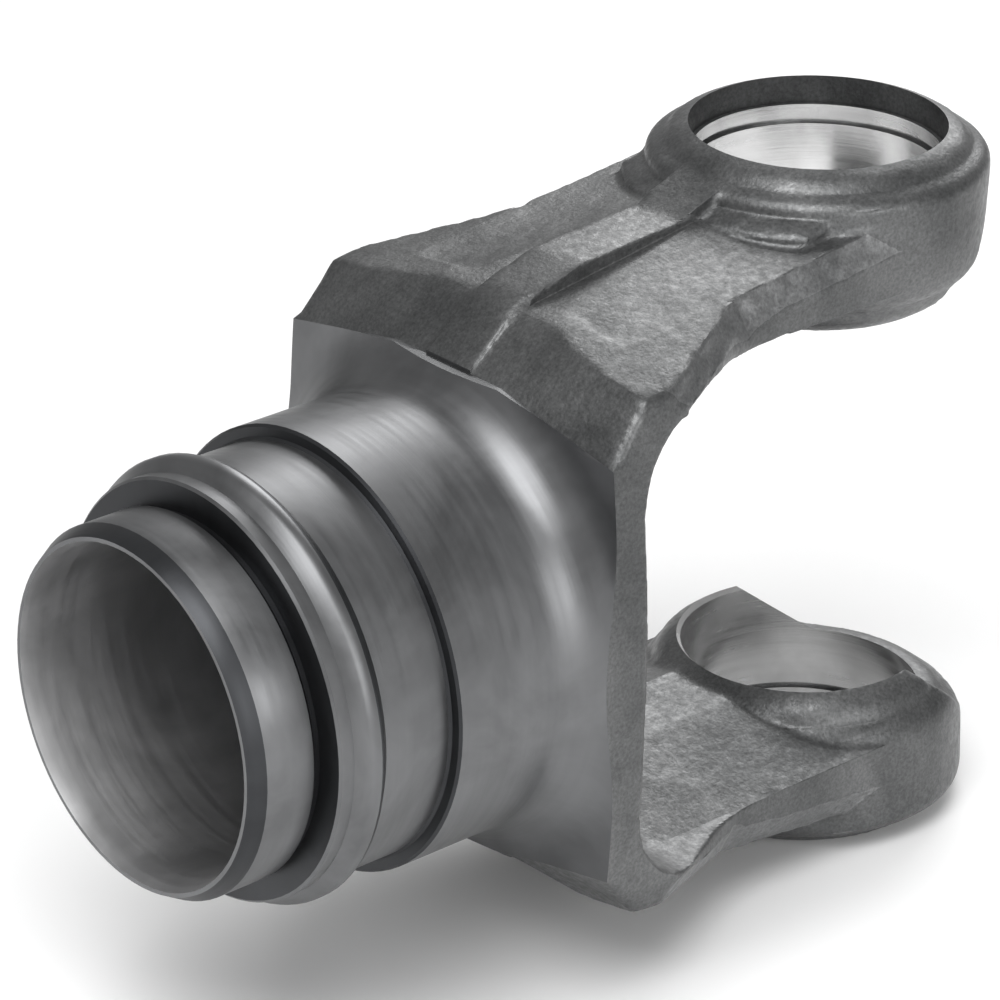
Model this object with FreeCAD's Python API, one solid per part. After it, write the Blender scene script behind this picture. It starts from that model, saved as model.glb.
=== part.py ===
"""Weld yoke of a heavy driveshaft: one steel forging with a turned, stepped hub.

The origin is the joint centre, where the hub axis meets the bearing-bore axis.
X is the hub axis, with the open mouth of the hub at -X. Z is the bearing-bore axis.
The yoke is symmetric about the planes y = 0 and z = 0. All sizes are in millimetres.
"""
import FreeCAD, Part
import math
import os
from FreeCAD import Vector

# ---- bearing ears -------------------------------------------------------------
bore_diameter = 49.2          # seat of the bearing cap
ear_radius = 34.0             # side wall of each ear at its outer shoulder
ear_draft = 0.9               # how much smaller it is at the inner shoulder
ear_span = 146.0              # outer rim to outer rim
ear_gap = 79.0                # inner face to inner face
ring_radius = 29.6            # raised ring round each bore, outside and inside
ring_height = 3.2             # how far the ring stands above the ear's shoulder
ring_fall = 1.2               # fall of the outer ring's face from bore to edge
inner_fall = 2.2              # the same on the inner ring
shoulder_round = 3.2          # rounding from the outer shoulder to the side wall
inner_round = 6.5             # rounding from the inner shoulder to the side wall
shoulder_fall = 1.7           # fall of both shoulders from ring to side wall
ring_fillet = 1.6             # hollow at the foot of each ring
ring_draft = 0.7              # how far a ring's wall leans to each side of its radius
ring_edge = 0.8               # broken outer edge of each ring
entry_depth = 5.8             # rough counterbore above the machined seat
entry_clearance = 0.9         # counterbore radius over seat radius
clip_land = 2.7               # seat left outside the snap-ring groove
clip_width = 1.4              # snap-ring groove
clip_depth = 1.2              # groove depth below the seat
seat_chamfer = 0.8            # lead-in at the inner end of each seat
relief_start = 5.5            # x where the inner face starts to fall away to the tip
relief_angle = 39.0           # slope of that tip relief, degrees
relief_height = 50.4          # half height of the gap at the relieved tip
relief_round = 9.0            # hollow at the foot of the slope
tip_crown_radius = 27.5       # where the relieved face starts to fall away outwards
tip_crown_angle = 38.0        # slope of that outer part, degrees

# ---- fork ---------------------------------------------------------------------
back_x = -95.0                # turned back face of the fork body
crotch_x = -87.0              # bottom of the gap between the arms, at the edges
crotch_crown = 2.5            # how much nearer the joint it is on the mid plane
body_half_width = 48.0        # sides of the fork body, at z = 0
side_crown = 2.0              # how much narrower it is at the corners of its back face
body_corner_x = -81.5         # where the body's sides turn into the arms
body_corner_round = 4.0
arm_half_width = 32.6         # narrow part of each arm
arm_waist_x = -50.0           # where the narrow part starts
waist_blend = 45.0            # plan radius of the run into the narrow part
back_height = 48.5            # half height of the body at its back face
shoulder_x = -84.0            # shoulder on the arm's mid line: x and half height
shoulder_height = 57.6
shoulder_blend = 9.0
arm_end_x = -28.0             # mid line of the arm where it meets the ear
arm_end_height = 65.6
flash_width = 2.5             # trimmed flash face along the arm's outer edges, along y
flash_drop = 5.0              # and along z
edge_shoulder_x = -86.0       # shoulder at the arm's outer edges
edge_shoulder_height = 53.4
corner_inset = 31.0           # clipped back corners: run along y and drop in z
corner_drop = 6.0
gap_mid_height = 41.5         # half height of the gap on the mid plane
gap_edge_height = 49.3        # half height of the gap at the arms' edges
gap_mid_width = 8.0           # half width of the flat strip on the mid plane
gap_corner = 19.0             # radius in the corners of the gap
gap_spread = 1.5              # further widening where the gap leaves the body

# ---- centre rib and pockets on the outer face of each arm ------------------------
rib_half_width = 6.3
rib_foot_height = 29.0        # depth to which it is rooted in the body
rib_back_height = 49.2
rib_shoulder_x = -83.0
rib_shoulder_height = 59.6
rib_shoulder_blend = 14.0
rib_top_x = -68.0
rib_top_height = 63.2
rib_top_blend = 34.0
rib_end_x = -43.0
rib_end_height = 65.0
rib_end_blend = 12.0
rib_ring_height = 70.0        # rib height where it runs into the ring
panel_back_x = -80.0          # panel beside the rib: x and half height of its back end
panel_back_height = 59.8
panel_rise = 6.0              # slope of the panel along the arm, degrees
panel_fall = 8.6              # slope of the panel away from the rib, degrees
dish_radius = 110.0           # hollow along the middle of each panel
dish_width = 24.0
dish_back_x = -78.0
collar_radius = 38.5          # collar at the foot of each ear, concentric with the bore
collar_height = 66.0          # its half height at the ear's side wall
collar_fall = 2.2             # fall of its top from there to its edge
collar_half_width = 26.0
collar_round = 2.0

# ---- hub ------------------------------------------------------------------------
neck_radius = 43.7            # turned neck between hub and fork body
flare_radius = 12.0           # hollow between neck and fork body
neck_front_x = -129.3         # shoulder at the front of the neck
land_radius = 40.9            # turned land between the neck and the ridge
ridge_x = -149.4              # rough turned ridge ahead of the land
ridge_radius = 43.3
ridge_width = 2.6
band_radius = 40.9            # band ahead of the ridge, flush with the tube
band_front_x = -155.0         # shoulder that stops the tube
pilot_radius = 36.1           # pilot inside the tube
undercut_radius = 35.0        # relief groove behind the pilot
undercut_width = 2.2
bevel_length = 3.2            # long bevel round the mouth
bevel_drop = 1.8
mouth_x = -171.0
lip_width = 0.9               # radial width of the lead-in chamfer inside the mouth
lip_length = 3.6              # its length along the bore
hub_bore_radius = 32.6
hub_bore_end_x = -126.0       # end of the machined hub bore
hub_bore_step = 1.5           # step down to the forged recess
recess_end_x = -106.0         # bottom of the forged recess beyond it
recess_end_radius = 24.0
recess_corner = 6.0
edge_break = 0.5              # broken edges of the turned steps

MARGIN = 30.0                 # how far cutting bodies run past the work


def rounded_wire(corners):
    """Closed wire through (point, radius) corners, each rounded by a tangent arc.

    A negative radius stands for a straight chamfer of that leg.
    """
    count = len(corners)
    starts, ends, arcs = [], [], []
    for index, (point, radius) in enumerate(corners):
        before = (corners[index - 1][0] - point).normalize()
        after = (corners[(index + 1) % count][0] - point).normalize()
        if radius <= 0:
            first = point - before * radius
            last = point - after * radius
            starts.append(first)
            ends.append(last)
            arcs.append(Part.LineSegment(first, last).toShape() if radius else None)
            continue
        half_angle = before.getAngle(after) / 2
        reach = radius / math.tan(half_angle)
        bisector = (before + after).normalize()
        middle = point + bisector * (radius / math.sin(half_angle) - radius)
        first = point + before * reach
        last = point + after * reach
        starts.append(first)
        ends.append(last)
        arcs.append(Part.Arc(first, middle, last).toShape())
    edges = []
    for index in range(count):
        if arcs[index] is not None:
            edges.append(arcs[index])
        here = ends[index]
        there = starts[(index + 1) % count]
        if here.distanceToPoint(there) > 1e-6:
            edges.append(Part.LineSegment(here, there).toShape())
    return Part.Wire(edges)


def xz_corners(points, y=0.0):
    """(x, z, radius) triples as corners in the plane y."""
    return [(Vector(x, y, z), radius) for x, z, radius in points]


def xy_prism(points, height):
    """Solid from (x, y, radius) corners, centred on z = 0."""
    corners = [(Vector(x, y, -height / 2), radius) for x, y, radius in points]
    return Part.Face(rounded_wire(corners)).extrude(Vector(0, 0, height))


def xz_prism(points, width):
    """Solid from (x, z, radius) corners, centred on y = 0."""
    wire = rounded_wire(xz_corners(points, -width / 2))
    return Part.Face(wire).extrude(Vector(0, width, 0))


def turned_about_x(points):
    """Solid of revolution about the hub axis from (x, r, radius) corners."""
    corners = [(Vector(x, 0, r), radius) for x, r, radius in points]
    face = Part.Face(rounded_wire(corners))
    return face.revolve(Vector(0, 0, 0), Vector(1, 0, 0), 360)


def turned_about_z(points):
    """Solid of revolution about the bearing axis from (r, z, radius) corners."""
    corners = [(Vector(r, 0, z), radius) for r, z, radius in points]
    face = Part.Face(rounded_wire(corners))
    return face.revolve(Vector(0, 0, 0), Vector(0, 0, 1), 360)


def mirrored_z(shape):
    return shape.mirror(Vector(0, 0, 0), Vector(0, 0, 1))


def mirrored_y(shape):
    return shape.mirror(Vector(0, 0, 0), Vector(0, 1, 0))


def hub():
    """Stepped hub with its neck and the hollow flare up to the fork body."""
    flare_top = neck_radius + flare_radius
    flare_x = back_x - flare_radius
    ridge_back = ridge_x + ridge_width
    profile = [
        (mouth_x, 0, 0),
        (mouth_x, pilot_radius - bevel_drop, 0),
        (mouth_x + bevel_length, pilot_radius, 0),
        (band_front_x - undercut_width, pilot_radius, 0),
        (band_front_x - undercut_width / 2, undercut_radius, 0),
        (band_front_x, undercut_radius, 0),
        (band_front_x, band_radius, -edge_break),
        (ridge_x - (ridge_radius - band_radius), band_radius, 0),
        (ridge_x, ridge_radius, -edge_break),
        (ridge_back, ridge_radius, -edge_break),
        (ridge_back + ridge_radius - land_radius, land_radius, 0),
        (neck_front_x, land_radius, -edge_break),
        (neck_front_x, neck_radius, -edge_break),
        (back_x, neck_radius, flare_radius),
        (back_x, flare_top + flare_radius, 0),
        (back_x + edge_break, flare_top + flare_radius, 0),
        (back_x + edge_break, 0, 0),
    ]
    return turned_about_x(profile)


def hub_bore():
    """Machined bore at the mouth, then a forged recess that stops short of the gap."""
    profile = [
        (mouth_x - MARGIN, 0, 0),
        (mouth_x - MARGIN, hub_bore_radius + lip_width, 0),
        (mouth_x, hub_bore_radius + lip_width, 0),
        (mouth_x + lip_length, hub_bore_radius, 0),
        (hub_bore_end_x, hub_bore_radius, 0),
        (hub_bore_end_x, hub_bore_radius - hub_bore_step, 0),
        (recess_end_x, recess_end_radius, -recess_corner),
        (recess_end_x, 0, 0),
    ]
    return turned_about_x(profile)


def back_contour():
    """Outline of the fork body seen along the hub axis, as a prism along it."""
    side = body_half_width - side_crown
    low = back_height - corner_drop
    inner = side - corner_inset
    right = Part.Arc(Vector(0, side, -low), Vector(0, body_half_width, 0),
                     Vector(0, side, low)).toShape()
    left = Part.Arc(Vector(0, -side, low), Vector(0, -body_half_width, 0),
                    Vector(0, -side, -low)).toShape()
    top = Part.makePolygon([Vector(0, side, low), Vector(0, inner, back_height),
                            Vector(0, -inner, back_height), Vector(0, -side, low)])
    bottom = Part.makePolygon([Vector(0, -side, -low), Vector(0, -inner, -back_height),
                               Vector(0, inner, -back_height), Vector(0, side, -low)])
    wire = Part.Wire([right] + top.Edges + [left] + bottom.Edges)
    start = back_x - flare_radius - MARGIN
    prism = Part.Face(wire).extrude(Vector(back_x + edge_break - start, 0, 0))
    prism.translate(Vector(start, 0, 0))
    return prism


def fork_plan():
    """Plan of body and arms: flat sides, a waist, and straight arms up to the ears."""
    half = [
        (back_x, body_half_width, 0),
        (body_corner_x, body_half_width, body_corner_round),
        (arm_waist_x, arm_half_width, waist_blend),
        (0, arm_half_width, 0),
    ]
    other = [(x, -y, radius) for x, y, radius in reversed(half)]
    return xy_prism(half + other, ear_span + MARGIN)


def fork_outline():
    """Side view of body and arms on their mid line."""
    upper = [
        (back_x, back_height, 0),
        (shoulder_x, shoulder_height, shoulder_blend),
        (arm_end_x, arm_end_height, 0),
        (0, arm_end_height, 0),
    ]
    lower = [(x, -z, radius) for x, z, radius in reversed(upper)]
    return xz_prism(upper + lower, 4 * body_half_width)


def gap_section(y, half_height, bottom_x):
    points = [
        (bottom_x, -half_height, gap_corner),
        (MARGIN, -half_height, 0),
        (MARGIN, half_height, 0),
        (bottom_x, half_height, gap_corner),
    ]
    return rounded_wire(xz_corners(points, y))


def fork_gap():
    """Space between the arms, wider at the arms' edges than on the mid plane."""
    middle_x = crotch_x + crotch_crown
    outer = body_half_width + MARGIN
    sections = [
        gap_section(gap_mid_width, gap_mid_height, middle_x),
        gap_section(arm_half_width, gap_edge_height, crotch_x),
        gap_section(outer, gap_edge_height + gap_spread, crotch_x),
    ]
    flank = Part.makeLoft(sections, True, True)
    strip = Part.Face(gap_section(-gap_mid_width, gap_mid_height, middle_x))
    centre = strip.extrude(Vector(0, 2 * gap_mid_width, 0))
    return centre.fuse([flank, mirrored_y(flank)])


def side_crown_prism():
    """Space between the two crowned sides of the body."""
    low = back_height - corner_drop
    radius = (low ** 2 + side_crown ** 2) / (2 * side_crown)
    centre = Vector(back_x - MARGIN, body_half_width - radius, 0)
    length = 2 * MARGIN - back_x
    right = Part.makeCylinder(radius, length, centre, Vector(1, 0, 0))
    return right.common(mirrored_y(right))


def room_over(a, b, c):
    """Thick slab on the outer side of the plane through three points."""
    normal = (b - a).cross(c - a).normalize()
    if normal.z < 0:
        normal = normal * -1
    centre = (a + b + c) * (1 / 3)
    size = 2 * ear_span
    plane = Part.makePlane(size, size, centre, normal)
    plane.translate(centre - plane.CenterOfMass)
    return plane.extrude(normal * size)


def corner_cut():
    """Wedge that clips one back corner of the body."""
    side = body_half_width - side_crown
    a = Vector(back_x, side - corner_inset, back_height)
    b = Vector(back_x, side, back_height - corner_drop)
    c = Vector(edge_shoulder_x, side, edge_shoulder_height)
    return room_over(a, b, c)


def panel_height(x, y):
    rise = math.tan(math.radians(panel_rise))
    fall = math.tan(math.radians(panel_fall))
    return panel_back_height + rise * (x - panel_back_x) - fall * (y - rib_half_width)


def panel_point(x, y):
    return Vector(x, y, panel_height(x, y))


def panel_cut():
    """Room over the sloping panel beside the rib."""
    inner = panel_point(panel_back_x, rib_half_width)
    outer = panel_point(panel_back_x, body_half_width)
    end = panel_point(arm_end_x, rib_half_width)
    return room_over(inner, outer, end)


def panel_dish():
    """Shallow hollow along the middle of the panel."""
    inner = panel_point(dish_back_x, rib_half_width)
    outer = panel_point(dish_back_x, rib_half_width + dish_width)
    along = (panel_point(0, rib_half_width) - inner).normalize()
    across = (outer - inner).normalize()
    lift = math.sqrt(dish_radius ** 2 - (dish_width / 2) ** 2)
    centre = (inner + outer) * 0.5 + along.cross(across).normalize() * lift
    return Part.makeCylinder(dish_radius, -dish_back_x, centre, along)


def flash_room(start, end):
    """Room over the flash face that follows one straight side of the arm's plan."""
    inward = Vector(end.y - start.y, start.x - end.x, 0).normalize() * flash_width
    upper = start + inward
    further = end + inward
    a = panel_point(upper.x, upper.y)
    b = panel_point(further.x, further.y)
    c = panel_point(start.x, start.y) - Vector(0, 0, flash_drop)
    return room_over(a, b, c)


def flash_cut():
    """Room over the trimmed flash face along the outer edge of an arm."""
    corner = Vector(body_corner_x, body_half_width, 0)
    waist = Vector(arm_waist_x, arm_half_width, 0)
    end = Vector(0, arm_half_width, 0)
    return flash_room(corner, waist).common(flash_room(waist, end))


def four_ways(shape):
    """The shape and its images in the two mirror planes."""
    upper = [shape, mirrored_y(shape)]
    return upper + [mirrored_z(one) for one in upper]


def rib():
    """Centre rib along the outer face of the upper arm, running into the ring."""
    points = [
        (back_x, rib_foot_height, 0),
        (back_x, rib_back_height, 0),
        (rib_shoulder_x, rib_shoulder_height, rib_shoulder_blend),
        (rib_top_x, rib_top_height, rib_top_blend),
        (rib_end_x, rib_end_height, rib_end_blend),
        (-ring_radius, rib_ring_height, 0),
        (-ring_radius, rib_foot_height, 0),
    ]
    return xz_prism(points, 2 * rib_half_width)


def collar():
    """Collar that carries the ear on the arm's side, with a rounded upper edge."""
    foot = rib_foot_height
    disc = turned_about_z([
        (0, foot, 0),
        (collar_radius, foot, 0),
        (collar_radius, collar_height - collar_fall, collar_round),
        (ear_radius, collar_height, 0),
        (0, collar_height, 0),
    ])
    width = 2 * collar_half_width
    corner = Vector(-collar_radius, -collar_half_width, 0)
    return disc.common(Part.makeBox(collar_radius, width, ear_span, corner))


def ear_blank():
    """Round ear with a raised ring on its outer and inner faces."""
    top = ear_span / 2
    bottom = ear_gap / 2
    seat_edge = bore_diameter / 2 + entry_clearance
    inner_shoulder = bottom + inner_fall + ring_height
    profile = [
        (0, bottom, 0),
        (seat_edge, bottom, 0),
        (ring_radius - ring_draft, bottom + inner_fall, -ring_edge),
        (ring_radius + ring_draft, inner_shoulder, ring_fillet),
        (ear_radius - ear_draft, inner_shoulder + shoulder_fall, inner_round),
        (ear_radius, top - ring_height - shoulder_fall, shoulder_round),
        (ring_radius + ring_draft, top - ring_height, ring_fillet),
        (ring_radius - ring_draft, top - ring_fall, -ring_edge),
        (seat_edge, top, 0),
        (0, top, 0),
    ]
    return turned_about_z(profile)


def ear_bore():
    """Seat, snap-ring groove and rough entry of the upper bearing bore."""
    seat = bore_diameter / 2
    entry = seat + entry_clearance
    top = ear_span / 2
    bottom = ear_gap / 2
    clip_top = top - entry_depth - clip_land
    profile = [
        (0, bottom - MARGIN, 0),
        (seat + seat_chamfer, bottom - MARGIN, 0),
        (seat + seat_chamfer, bottom, 0),
        (seat, bottom + seat_chamfer, 0),
        (seat, clip_top - clip_width, 0),
        (seat + clip_depth, clip_top - clip_width, 0),
        (seat + clip_depth, clip_top, 0),
        (seat, clip_top, 0),
        (seat, top - entry_depth, 0),
        (entry, top - entry_depth, 0),
        (entry, top + MARGIN, 0),
        (0, top + MARGIN, 0),
    ]
    return turned_about_z(profile)


def tip_slope(height):
    """Room under the slope of the tip relief, up to the given half height."""
    bottom = ear_gap / 2
    run = (height - bottom) / math.tan(math.radians(relief_angle))
    reach = ear_radius + MARGIN
    return xz_prism([
        (relief_start, bottom, 0),
        (relief_start, bottom - MARGIN, 0),
        (reach, bottom - MARGIN, 0),
        (reach, height, 0),
        (relief_start + run, height, relief_round),
    ], 4 * ear_radius)


def tip_relief():
    """Room under the tip of the upper ear, where its inner face steps back."""
    reach = ear_radius + relief_round
    outer_drop = (reach - tip_crown_radius) * math.tan(math.radians(tip_crown_angle))
    crown = turned_about_z([
        (0, 0, 0),
        (reach, 0, 0),
        (reach, relief_height + outer_drop, 0),
        (tip_crown_radius, relief_height, 0),
        (0, relief_height, 0),
    ])
    return tip_slope(relief_height).fuse(crown.common(tip_slope(relief_height + outer_drop)))


def fork():
    blank = fork_outline().common(fork_plan()).common(side_crown_prism())
    blank = blank.cut(four_ways(corner_cut())).cut(four_ways(panel_cut()))
    blank = blank.cut(four_ways(panel_dish())).cut(four_ways(flash_cut()))
    extras = [rib(), collar()]
    return blank.fuse(extras + [mirrored_z(one) for one in extras]).cut(fork_gap())


def hub_room():
    """Room of the hub ahead of the flare, which the body's outline doesn't limit."""
    start = mouth_x - MARGIN
    length = back_x - flare_radius - start
    radius = neck_radius + flare_radius
    return Part.makeCylinder(radius, length, Vector(start, 0, 0), Vector(1, 0, 0))


def forged_yoke():
    neck = hub().common(back_contour().fuse(hub_room()))
    ear = ear_blank()
    body = fork().fuse([ear, mirrored_z(ear), neck])
    bores = [ear_bore(), tip_relief()]
    cuts = bores + [mirrored_z(one) for one in bores] + [hub_bore()]
    return body.cut(cuts).removeSplitter()


def main():
    os.makedirs("parts", exist_ok=True)
    yoke = forged_yoke()
    print("solids", len(yoke.Solids), "valid", yoke.isValid(), "volume", round(yoke.Volume))
    print("box", yoke.BoundBox)
    yoke.exportStep("parts/forged_yoke.step")


main()
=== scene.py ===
"""Looks of the forged yoke: surfaces, studio, light and camera, built by an add-on.

Run as a script it registers its classes and calls its operators in order.
The same classes can be used from the sidebar of the 3D view.
"""
import math

import bpy
import numpy as np
from mathutils import Matrix, Vector


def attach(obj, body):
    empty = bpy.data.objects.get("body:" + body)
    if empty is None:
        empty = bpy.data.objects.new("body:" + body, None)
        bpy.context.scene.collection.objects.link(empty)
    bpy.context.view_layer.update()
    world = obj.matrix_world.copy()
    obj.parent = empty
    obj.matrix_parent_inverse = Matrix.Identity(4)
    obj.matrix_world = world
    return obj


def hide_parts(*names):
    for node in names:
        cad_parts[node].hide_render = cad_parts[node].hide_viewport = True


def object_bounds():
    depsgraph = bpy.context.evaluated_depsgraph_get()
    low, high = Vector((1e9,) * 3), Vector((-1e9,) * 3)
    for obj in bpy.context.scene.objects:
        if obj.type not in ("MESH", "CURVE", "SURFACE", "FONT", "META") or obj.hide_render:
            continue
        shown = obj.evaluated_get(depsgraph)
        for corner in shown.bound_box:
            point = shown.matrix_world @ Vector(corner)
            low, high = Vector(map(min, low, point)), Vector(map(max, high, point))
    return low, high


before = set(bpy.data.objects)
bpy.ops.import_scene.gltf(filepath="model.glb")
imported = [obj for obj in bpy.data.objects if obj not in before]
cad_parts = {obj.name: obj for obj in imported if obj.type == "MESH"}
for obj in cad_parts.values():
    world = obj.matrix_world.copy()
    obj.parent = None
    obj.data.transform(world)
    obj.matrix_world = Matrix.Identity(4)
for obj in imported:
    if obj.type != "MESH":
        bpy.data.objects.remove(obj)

bl_info = {
    "name": "Forged yoke",
    "version": (1, 0, 0),
    "blender": (4, 5, 0),
    "location": "3D View > Sidebar > Yoke",
    "description": "Builds the surfaces and the studio of a forged driveshaft yoke",
    "category": "Object",
}

CAD_LO, CAD_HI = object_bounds()
NODE = "forged_yoke"
MM = 0.001


# ---- settings -----------------------------------------------------------------

class YokeSurface(bpy.types.PropertyGroup):
    """Sizes of the forging's skin and of the machined marks."""
    grain: bpy.props.FloatProperty(
        name="Grain", description="Height of the fine grain on forged faces, in mm",
        default=0.07, min=0.0, max=1.0)
    pits: bpy.props.FloatProperty(
        name="Pits", description="Height of the small pits on forged faces, in mm",
        default=0.09, min=0.0, max=2.0)
    skin_step: bpy.props.FloatProperty(
        name="Skin step", description="Longest edge of the forged skin's mesh, in mm",
        default=2.05, min=0.5, max=10.0)
    soft_rounds: bpy.props.IntProperty(
        name="Softening", description="Rounds of softening that round the forged edges",
        default=3, min=0, max=60)
    unevenness: bpy.props.FloatProperty(
        name="Unevenness", description="Height of the forged skin's wide lumps, in mm",
        default=0.07, min=0.0, max=2.0)
    torn: bpy.props.FloatProperty(
        name="Torn flash", description="Height of the torn lumps on flash faces, in mm",
        default=0.24, min=0.0, max=2.0)
    forged_roughness: bpy.props.FloatProperty(
        name="Forged roughness", description="Roughness of the forged faces",
        default=0.42, min=0.0, max=1.0, subtype="FACTOR")
    machined_roughness: bpy.props.FloatProperty(
        name="Machined roughness", description="Roughness of turned and bored faces",
        default=0.40, min=0.0, max=1.0, subtype="FACTOR")


class YokeStudio(bpy.types.PropertyGroup):
    """Camera and light."""
    azimuth: bpy.props.FloatProperty(
        name="Azimuth", description="Turn of the camera round the yoke",
        default=math.radians(-41.2), subtype="ANGLE", unit="ROTATION")
    elevation: bpy.props.FloatProperty(
        name="Elevation", description="Height of the camera over the horizon",
        default=math.radians(25.45), subtype="ANGLE", unit="ROTATION")
    roll: bpy.props.FloatProperty(
        name="Roll", description="Lean of the camera about its own axis",
        default=math.radians(0.35), subtype="ANGLE", unit="ROTATION")
    distance: bpy.props.FloatProperty(
        name="Distance", description="Camera to the joint centre along the view",
        default=1.008, min=0.2, unit="LENGTH")
    aside: bpy.props.FloatProperty(
        name="Aside", description="How far the camera stands left of the joint centre",
        default=0.06175, unit="LENGTH")
    above: bpy.props.FloatProperty(
        name="Above", description="How far it stands below the joint centre's line",
        default=0.00806, unit="LENGTH")
    lens: bpy.props.FloatProperty(
        name="Lens", description="Focal length on a 36 mm sensor",
        default=180.0, min=10.0, subtype="DISTANCE_CAMERA")
    light_level: bpy.props.FloatProperty(
        name="Light", description="Strength of the studio lamps",
        default=1.0, min=0.0)


# ---- node helpers ---------------------------------------------------------------

class Nodes:
    """Short way to add and link shader nodes."""

    def __init__(self, name):
        self.material = bpy.data.materials.new(name)
        self.material.use_nodes = True
        self.tree = self.material.node_tree
        self.tree.nodes.clear()
        self.coords = self.add("ShaderNodeTexCoord").outputs["Object"]

    def add(self, kind, **values):
        node = self.tree.nodes.new(kind)
        for key, value in values.items():
            setattr(node, key, value)
        return node

    def put(self, socket, value):
        if isinstance(value, bpy.types.NodeSocket):
            self.tree.links.new(value, socket)
        else:
            socket.default_value = value

    def math(self, operation, a, b=0.0, clamp=False):
        node = self.add("ShaderNodeMath", operation=operation, use_clamp=clamp)
        self.put(node.inputs[0], a)
        self.put(node.inputs[1], b)
        return node.outputs[0]

    def noise(self, scale, detail=3.0, rough=0.55, vector=None, distortion=0.0):
        node = self.add("ShaderNodeTexNoise")
        self.put(node.inputs["Vector"], vector or self.coords)
        node.inputs["Scale"].default_value = scale
        node.inputs["Detail"].default_value = detail
        node.inputs["Roughness"].default_value = rough
        node.inputs["Distortion"].default_value = distortion
        return node.outputs["Fac"]

    def stretched(self, scale):
        node = self.add("ShaderNodeMapping")
        self.put(node.inputs["Vector"], self.coords)
        node.inputs["Scale"].default_value = scale
        return node.outputs["Vector"]

    def span(self, value, low, high, to_low=0.0, to_high=1.0):
        node = self.add("ShaderNodeMapRange")
        self.put(node.inputs["Value"], value)
        self.put(node.inputs["From Min"], low)
        self.put(node.inputs["From Max"], high)
        self.put(node.inputs["To Min"], to_low)
        self.put(node.inputs["To Max"], to_high)
        return node.outputs["Result"]

    def mix(self, factor, a, b):
        node = self.add("ShaderNodeMix", data_type="RGBA")
        self.put(node.inputs[0], factor)
        self.put(node.inputs[6], a)
        self.put(node.inputs[7], b)
        return node.outputs[2]

    def bump(self, height, distance, strength=1.0, normal=None):
        node = self.add("ShaderNodeBump")
        self.put(node.inputs["Height"], height)
        node.inputs["Distance"].default_value = distance
        node.inputs["Strength"].default_value = strength
        if normal is not None:
            self.put(node.inputs["Normal"], normal)
        return node.outputs["Normal"]

    def surface(self, color, roughness, metallic, normal=None, **more):
        shader = self.add("ShaderNodeBsdfPrincipled")
        self.put(shader.inputs["Base Color"], color)
        self.put(shader.inputs["Roughness"], roughness)
        self.put(shader.inputs["Metallic"], metallic)
        if normal is not None:
            self.put(shader.inputs["Normal"], normal)
        for key, value in more.items():
            self.put(shader.inputs[key], value)
        out = self.add("ShaderNodeOutputMaterial")
        self.tree.links.new(shader.outputs["BSDF"], out.inputs["Surface"])
        return self.material


def forged_material(name, settings, level):
    """Shot-blasted forging: fine grain and mottled scale."""
    n = Nodes(name)
    grain = n.noise(1500.0, 3.0, 0.62)
    pits = n.noise(620.0, 2.0, 0.5)
    lumps = n.noise(150.0, 2.0, 0.5)
    patches = n.noise(38.0, 4.0, 0.6, distortion=0.6)
    dark = tuple(level * c for c in (0.088, 0.090, 0.091)) + (1,)
    light = tuple(level * c for c in (0.158, 0.160, 0.161)) + (1,)
    mottled = n.mix(n.span(patches, 0.35, 0.68), dark, light)
    specks = n.span(grain, 0.30, 0.72, 0.72, 1.25)
    tint = n.add("ShaderNodeMix", data_type="RGBA", blend_type="MULTIPLY")
    tint.inputs[0].default_value = 1.0
    n.put(tint.inputs[6], mottled)
    grey = n.add("ShaderNodeCombineColor")
    for socket in grey.inputs[:3]:
        n.put(socket, specks)
    n.put(tint.inputs[7], grey.outputs[0])
    rough = n.span(pits, 0.3, 0.7, settings.forged_roughness - 0.07, settings.forged_roughness + 0.10)
    wide = n.bump(lumps, 0.2 * MM, 1.0)
    mid = n.bump(pits, settings.pits * MM, 0.9, wide)
    fine = n.bump(grain, settings.grain * MM, 0.9, mid)
    return n.surface(tint.outputs[2], rough, 0.75, fine)


def turned_material(name, settings, color, axis, roughness=None):
    """Fine lathe or boring marks across the given axis, with faint stains."""
    n = Nodes(name)
    scale = [25.0, 25.0, 25.0]
    scale[axis] = 3200.0
    marks = n.noise(1.0, 2.0, 0.6, vector=n.stretched(scale))
    scale[axis] = 700.0
    bands = n.noise(1.0, 2.0, 0.5, vector=n.stretched(scale))
    stains = n.noise(45.0, 4.0, 0.6, distortion=0.5)
    dark = tuple(0.72 * c for c in color) + (1,)
    shade = n.mix(n.span(stains, 0.36, 0.66), dark, tuple(color) + (1,))
    base = settings.machined_roughness if roughness is None else roughness
    both = n.math("ADD", n.span(bands, 0.3, 0.7, -0.05, 0.05), n.span(stains, 0.3, 0.7, -0.04, 0.05))
    rough = n.math("ADD", both, base)
    normal = n.bump(marks, 0.012 * MM, 0.8)
    return n.surface(shade, rough, 0.95, normal)


def floor_material():
    """White floor that still takes a soft shadow."""
    n = Nodes("studio_white")
    return n.surface((0.93, 0.93, 0.93, 1), 0.9, 0.0)


# ---- mesh work -------------------------------------------------------------------

# The step kind carries painted shade, and the inner and bored kinds carry painted light.
FORGED, TURNED, BORED_LIT, FLASH, SCALE, INNER_LIT, SHADED_STEP = range(7)
FINE = (FORGED, FLASH)          # kinds of face whose skin is cut fine and made uneven


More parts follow.
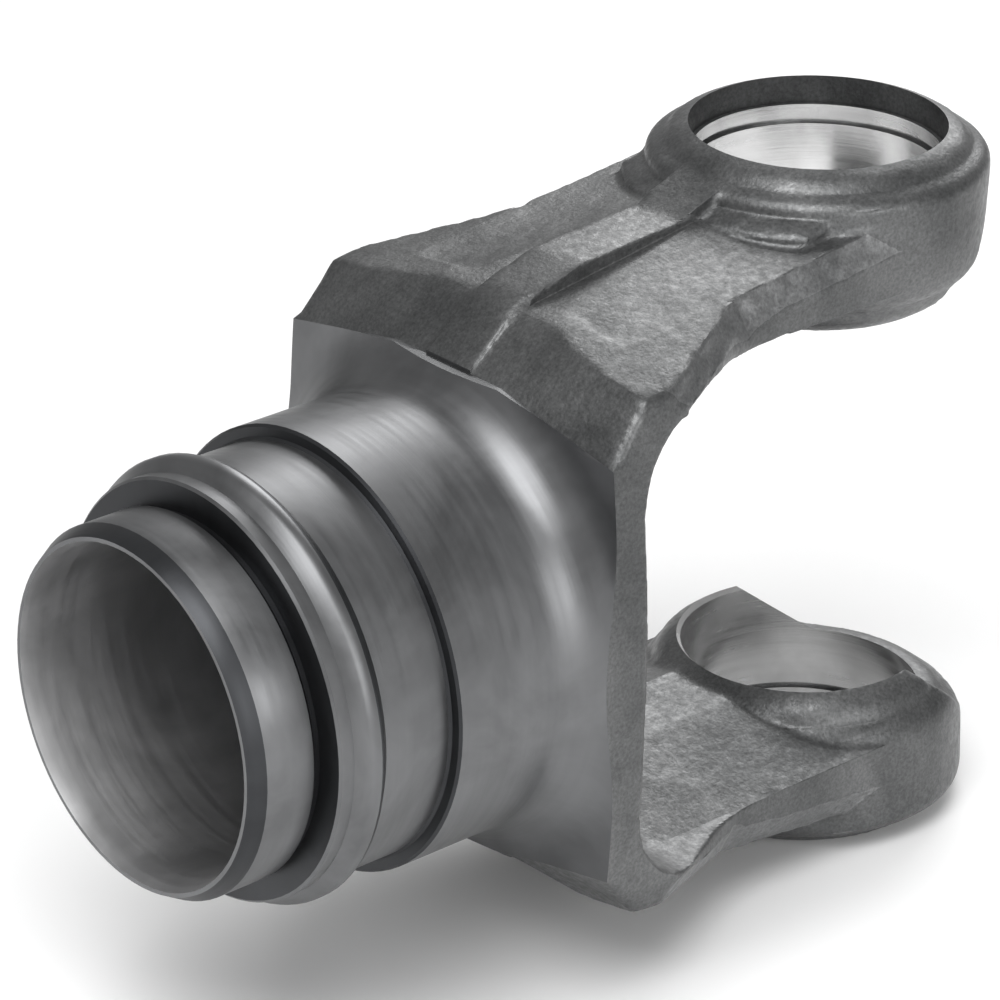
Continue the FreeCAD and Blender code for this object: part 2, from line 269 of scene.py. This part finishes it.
def read_mesh(obj):
    """Welded vertices in mm and triangles of a CAD node."""
    mesh = obj.data
    mesh.calc_loop_triangles()
    points = np.zeros(len(mesh.vertices) * 3, np.float32)
    mesh.vertices.foreach_get("co", points)
    points = points.reshape(-1, 3).astype(float) / MM
    triangles = np.zeros(len(mesh.loop_triangles) * 3, np.int32)
    mesh.loop_triangles.foreach_get("vertices", triangles)
    keys = np.round(points * 1000).astype(np.int64)
    _, first, back = np.unique(keys, axis=0, return_index=True, return_inverse=True)
    triangles = back.ravel()[triangles].reshape(-1, 3)
    a, b, c = triangles.T
    return points[first], triangles[(a != b) & (b != c) & (c != a)]


def face_normals(points, triangles):
    a, b, c = points[triangles].transpose(1, 0, 2)
    cross = np.cross(b - a, c - a)
    return cross, np.linalg.norm(cross, axis=1, keepdims=True) + 1e-12


def vertex_normals(points, triangles):
    cross, _ = face_normals(points, triangles)
    total = np.zeros_like(points)
    for corner in range(3):
        for axis in range(3):
            total[:, axis] += np.bincount(triangles[:, corner], cross[:, axis], len(points))
    return total / (np.linalg.norm(total, axis=1, keepdims=True) + 1e-12)


def kind_of(points, triangles):
    """Which finish each face of the forging has, and which faces get painted shade or painted light."""
    cross, length = face_normals(points, triangles)
    normal = cross / length
    x, y, z = points[triangles].mean(1).T
    from_hub = np.hypot(y, z)
    from_bore = np.hypot(x, y)
    high = np.abs(z)
    kind = np.full(len(x), FORGED)
    out = normal[:, 1] * y + normal[:, 2] * z > -0.01 * from_hub
    kind[(x < -94.9) & (out | (x < -125.9)) & (from_hub < 60)] = TURNED
    # Faces inside the hub's mouth get painted light: a lighter copy of the turned steel that stands in
    # for the light seen inside the bore.
    kind[(x < -125.9) & (from_hub < 33.6) & ~out] = INNER_LIT
    # The hub's undercut groove, shoulder faces and bevels, and the ramp at x -147 to -144, take painted
    # shade: a near-black copy of the turned steel.
    undercut = (x > -157.3) & (x < -154.9) & (from_hub < 39.5)
    shoulders = (x > -155.6) & (x < -154.9) | (x > -129.9) & (x < -128.7)
    slope = normal[:, 0]
    bevel = (x < -167.7) & (slope < -0.3) & (slope > -0.7)
    kind[out & (from_hub > 34.0) & (undercut | shoulders | bevel)] = SHADED_STEP
    kind[out & (x > -147.2) & (x < -144.0) & (slope > 0.3)] = SHADED_STEP
    back = (normal[:, 0] < -0.999) & (x < -94.9) & (x > -95.1)
    kind[back] = TURNED
    facing = normal[:, 0] * x + normal[:, 1] * y < 0
    # Bore faces of the ears: their machined finish with painted reflection, a near-white copy of the
    # machined steel.
    kind[facing & (from_bore < 26.0) & (high > 38) & (high < 67.3)] = BORED_LIT
    kind[facing & (from_bore < 25.7) & (high > 67.3)] = SCALE
    lean = np.abs(normal[:, 2])
    side = np.abs(normal[:, 1])
    kind[(lean > 0.38) & (lean < 0.52) & (side > 0.75) & (high > 48) & (x < -14)] = FLASH
    return kind


def cut_fine(points, triangles, kind, limit):
    """Halve every edge longer than the limit on faces of a fine kind."""
    for _ in range(14):
        edges = np.sort(triangles[:, [[0, 1], [1, 2], [2, 0]]].reshape(-1, 2), axis=1)
        code = edges[:, 0] * len(points) + edges[:, 1]
        _, first, back = np.unique(code, return_index=True, return_inverse=True)
        pairs = edges[first]
        back = back.reshape(-1, 3)
        long = np.linalg.norm(points[pairs[:, 0]] - points[pairs[:, 1]], axis=1) > limit
        used = np.zeros(len(pairs), bool)
        used[back[np.isin(kind, FINE)].ravel()] = True
        cut = long & used
        if not cut.any():
            break
        number = np.where(cut, len(points) + np.cumsum(cut) - 1, -1)
        points = np.vstack([points, points[pairs[cut]].mean(1)])
        middle = number[back]
        count = (middle >= 0).sum(1)
        kept = [triangles[count == 0]]
        kinds = [kind[count == 0]]
        for turn in range(3):
            t, m = np.roll(triangles, -turn, 1), np.roll(middle, -turn, 1)
            one = (count == 1) & (m[:, 0] >= 0)
            two = (count == 2) & (m[:, 2] < 0)
            a, b, c = t[one].T
            p = m[one, 0]
            kept += [np.c_[a, p, c], np.c_[p, b, c]]
            kinds += [kind[one]] * 2
            a, b, c = t[two].T
            p, q = m[two, 0], m[two, 1]
            kept += [np.c_[p, b, q], np.c_[a, p, q], np.c_[a, q, c]]
            kinds += [kind[two]] * 3
        full = count == 3
        a, b, c = triangles[full].T
        p, q, r = middle[full].T
        kept += [np.c_[a, p, r], np.c_[p, b, q], np.c_[r, q, c], np.c_[p, q, r]]
        kinds += [kind[full]] * 4
        triangles, kind = np.vstack(kept), np.concatenate(kinds)
    return points, triangles, kind


def fine_vertices(points, triangles, kind):
    """True for vertices that touch fine faces only."""
    fine = np.ones(len(points), bool)
    fine[triangles[~np.isin(kind, FINE)].ravel()] = False
    return fine


def soften(points, triangles, free, rounds, share):
    """Round the edges of the free part by averaging neighbours."""
    pairs = np.unique(np.sort(triangles[:, [[0, 1], [1, 2], [2, 0]]].reshape(-1, 2), axis=1), axis=0)
    a = np.concatenate([pairs[:, 0], pairs[:, 1]])
    b = np.concatenate([pairs[:, 1], pairs[:, 0]])
    degree = np.bincount(a, minlength=len(points))[:, None]
    for _ in range(rounds):
        mean = np.stack([np.bincount(a, points[b, axis], len(points)) for axis in range(3)], 1) / degree
        points = np.where(free[:, None], points + share * (mean - points), points)
    return points


def lumps(points, size, seed):
    """Smooth random heights from -1 to 1 with features of the given size in mm."""
    grid = points / size + 1000.0
    base = np.floor(grid).astype(np.int64)
    part = grid - base
    part = part * part * (3 - 2 * part)
    total = 0
    for corner in range(8):
        step = np.array([corner & 1, corner >> 1 & 1, corner >> 2])
        at = base + step
        mixed = at[:, 0] * 73856093 ^ at[:, 1] * 19349663 ^ at[:, 2] * 83492791 ^ seed * 2654435761
        mixed = (mixed ^ mixed >> 13) * 1274126177 & 0xFFFFFFFF
        mixed = (mixed ^ mixed >> 16) & 0xFFFF
        weight = np.where(step, part, 1 - part).prod(1)
        total = total + weight * (mixed / 32767.5 - 1)
    return total


def roughen(points, triangles, kind, settings):
    """Push the fine vertices in and out: soft unevenness, torn flash, scale."""
    free = fine_vertices(points, triangles, kind)
    flash = np.zeros(len(points))
    flash[triangles[kind == FLASH].ravel()] = 1.0
    x, y, z = points.T
    from_bore = np.hypot(x, y)
    high = np.abs(z)
    pad = (from_bore > 34.5) & (from_bore < 38.5) & (high > 63.5) & (np.abs(y) > 7)
    torn = np.maximum(flash, pad * 0.9)
    fade = np.clip((97 - np.abs(x)) / 3, 0, 1)
    height = settings.unevenness * (lumps(points, 11, 1) + 0.5 * lumps(points, 4.5, 2))
    height = height + settings.torn * torn * (lumps(points, 2.6, 3) + 0.6 * lumps(points, 1.7, 4))
    height = height + 0.35 * settings.unevenness * lumps(points, 2.2, 5)
    normal = vertex_normals(points, triangles)
    return points + normal * (height * free * fade)[:, None]


def make_piece(name, points, triangles, kind, materials):
    """Mesh object in metres with a material for each kind of face."""
    used, back = np.unique(triangles, return_inverse=True)
    mesh = bpy.data.meshes.new(name)
    mesh.from_pydata((points[used] * MM).tolist(), [], back.reshape(-1, 3).tolist())
    for material in materials:
        mesh.materials.append(material)
    mesh.polygons.foreach_set("material_index", kind.astype(np.int32))
    mesh.shade_smooth()
    mesh.set_sharp_from_angle(angle=math.radians(38))
    mesh.update()
    obj = bpy.data.objects.new(name, mesh)
    bpy.context.scene.collection.objects.link(obj)
    return obj


class YOKE_OT_forging(bpy.types.Operator):
    """Builds the shown forging from the CAD solid, with soft edges and uneven forged skin"""
    bl_idname = "yoke.forging"
    bl_label = "Yoke forging"

    def execute(self, context):
        settings = context.scene.yoke_surface
        points, triangles = read_mesh(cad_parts[NODE])
        kind = kind_of(points, triangles)
        points, triangles, kind = cut_fine(points, triangles, kind, settings.skin_step)
        free = fine_vertices(points, triangles, kind)
        points = soften(points, triangles, free, settings.soft_rounds, 0.5)
        points = roughen(points, triangles, kind, settings)
        points = np.clip(points, np.array(CAD_LO) / MM, np.array(CAD_HI) / MM)
        if not np.isfinite(points).all():
            raise RuntimeError("the forging's skin has points that aren't numbers")
        materials = [
            forged_material("forged_steel", settings, 1.0),
            turned_material("turned_steel", settings, (0.205, 0.208, 0.213), 0),
            # Near-white copy of the machined steel: the bores' finish with painted reflection.
            turned_material("bored_lit_steel", settings, (0.80, 0.80, 0.80), 2, 0.22),
            forged_material("flash_steel", settings, 1.5),
            forged_material("scale_steel", settings, 0.55),
            # Lighter copy of the turned steel: painted light inside the hub's mouth.
            turned_material("inner_lit_steel", settings, (0.50, 0.50, 0.505), 0, 0.45),
            # Near-black copy of the turned steel: painted shade on the hub's shoulders, bevels and
            # groove.
            turned_material("shaded_step_steel", settings, (0.06, 0.062, 0.066), 0, 0.42),
        ]
        piece = make_piece("yoke_forging", points, triangles, kind, materials)
        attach(piece, "root")
        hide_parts(NODE)
        print("triangles", len(triangles))
        return {"FINISHED"}


def area_lamp(name, place, target, size, power):
    data = bpy.data.lights.new(name, "AREA")
    data.shape = "RECTANGLE"
    data.size, data.size_y = size
    data.energy = power
    lamp = bpy.data.objects.new(name, data)
    bpy.context.scene.collection.objects.link(lamp)
    lamp.location = place
    aim = Vector(target) - Vector(place)
    lamp.rotation_euler = aim.to_track_quat("-Z", "Y").to_euler()
    return lamp


def studio_world(scene):
    """White to camera and transmission rays, plain grey to all other rays."""
    world = bpy.data.worlds.new("studio")
    scene.world = world
    world.use_nodes = True
    tree = world.node_tree
    tree.nodes.clear()
    path = tree.nodes.new("ShaderNodeLightPath")
    seen = tree.nodes.new("ShaderNodeMath")
    seen.operation = "MAXIMUM"
    tree.links.new(path.outputs["Is Camera Ray"], seen.inputs[0])
    tree.links.new(path.outputs["Is Transmission Ray"], seen.inputs[1])
    level = tree.nodes.new("ShaderNodeMapRange")
    tree.links.new(seen.outputs[0], level.inputs["Value"])
    level.inputs["To Min"].default_value = 0.35
    level.inputs["To Max"].default_value = 1.0
    shader = tree.nodes.new("ShaderNodeBackground")
    shader.inputs["Color"].default_value = (1, 1, 1, 1)
    tree.links.new(level.outputs["Result"], shader.inputs["Strength"])
    out = tree.nodes.new("ShaderNodeOutputWorld")
    tree.links.new(shader.outputs["Background"], out.inputs["Surface"])


class YOKE_OT_studio(bpy.types.Operator):
    """Adds the floor, the world and the lamps"""
    bl_idname = "yoke.studio"
    bl_label = "Yoke studio"

    def execute(self, context):
        scene = context.scene
        level = scene.yoke_studio.light_level
        floor_z = CAD_LO.z
        bpy.ops.mesh.primitive_plane_add(size=6.0, location=(0, 0, floor_z))
        floor = context.object
        floor.name = "floor"
        floor.data.materials.append(floor_material())
        area_lamp("key", (-0.5, -0.3, 0.9), (-0.05, 0, 0), (0.7, 0.7), 9.0 * level)
        area_lamp("fill", (-0.2, -1.1, 0.35), (-0.05, 0, 0), (0.9, 0.5), 5.0 * level)
        area_lamp("rim", (0.7, 0.5, 0.6), (0, 0, 0), (0.6, 0.6), 6.0 * level)
        studio_world(scene)
        return {"FINISHED"}


class YOKE_OT_camera(bpy.types.Operator):
    """Places the camera and sets the render up"""
    bl_idname = "yoke.camera"
    bl_label = "Yoke camera"

    def execute(self, context):
        scene = context.scene
        s = scene.yoke_studio
        a, e = s.azimuth, s.elevation
        back = Vector((math.sin(a) * math.cos(e), -math.cos(a) * math.cos(e), math.sin(e)))
        level = Vector((math.cos(a), math.sin(a), 0))
        over = back.cross(level)
        right = level * math.cos(s.roll) + over * math.sin(s.roll)
        up = over * math.cos(s.roll) - level * math.sin(s.roll)
        place = back * s.distance - right * s.aside - up * s.above
        data = bpy.data.cameras.new("camera")
        data.lens = s.lens
        data.clip_start, data.clip_end = 0.05, 20.0
        camera = bpy.data.objects.new("camera", data)
        scene.collection.objects.link(camera)
        turn = Matrix((right, up, back)).transposed().to_4x4()
        camera.matrix_world = Matrix.Translation(place) @ turn
        scene.camera = camera
        scene.view_settings.view_transform = "Standard"
        scene.render.engine = "CYCLES"
        scene.cycles.samples = 128
        return {"FINISHED"}


class YOKE_PT_panel(bpy.types.Panel):
    """Sidebar panel of the yoke"""
    bl_idname = "YOKE_PT_panel"
    bl_label = "Forged yoke"
    bl_space_type = "VIEW_3D"
    bl_region_type = "UI"
    bl_category = "Yoke"

    def draw(self, context):
        layout = self.layout
        for group in (context.scene.yoke_surface, context.scene.yoke_studio):
            box = layout.box()
            for name in group.__annotations__:
                box.prop(group, name)
        for operator in OPERATORS:
            layout.operator(operator.bl_idname)


OPERATORS = (YOKE_OT_forging, YOKE_OT_studio, YOKE_OT_camera)
CLASSES = (YokeSurface, YokeStudio) + OPERATORS + (YOKE_PT_panel,)


def register():
    for one in CLASSES:
        bpy.utils.register_class(one)
    bpy.types.Scene.yoke_surface = bpy.props.PointerProperty(type=YokeSurface)
    bpy.types.Scene.yoke_studio = bpy.props.PointerProperty(type=YokeStudio)


def unregister():
    del bpy.types.Scene.yoke_studio
    del bpy.types.Scene.yoke_surface
    for one in reversed(CLASSES):
        bpy.utils.unregister_class(one)


def main():
    register()
    bpy.ops.yoke.forging()
    bpy.ops.yoke.studio()
    bpy.ops.yoke.camera()


if __name__ == "__main__":
    main()
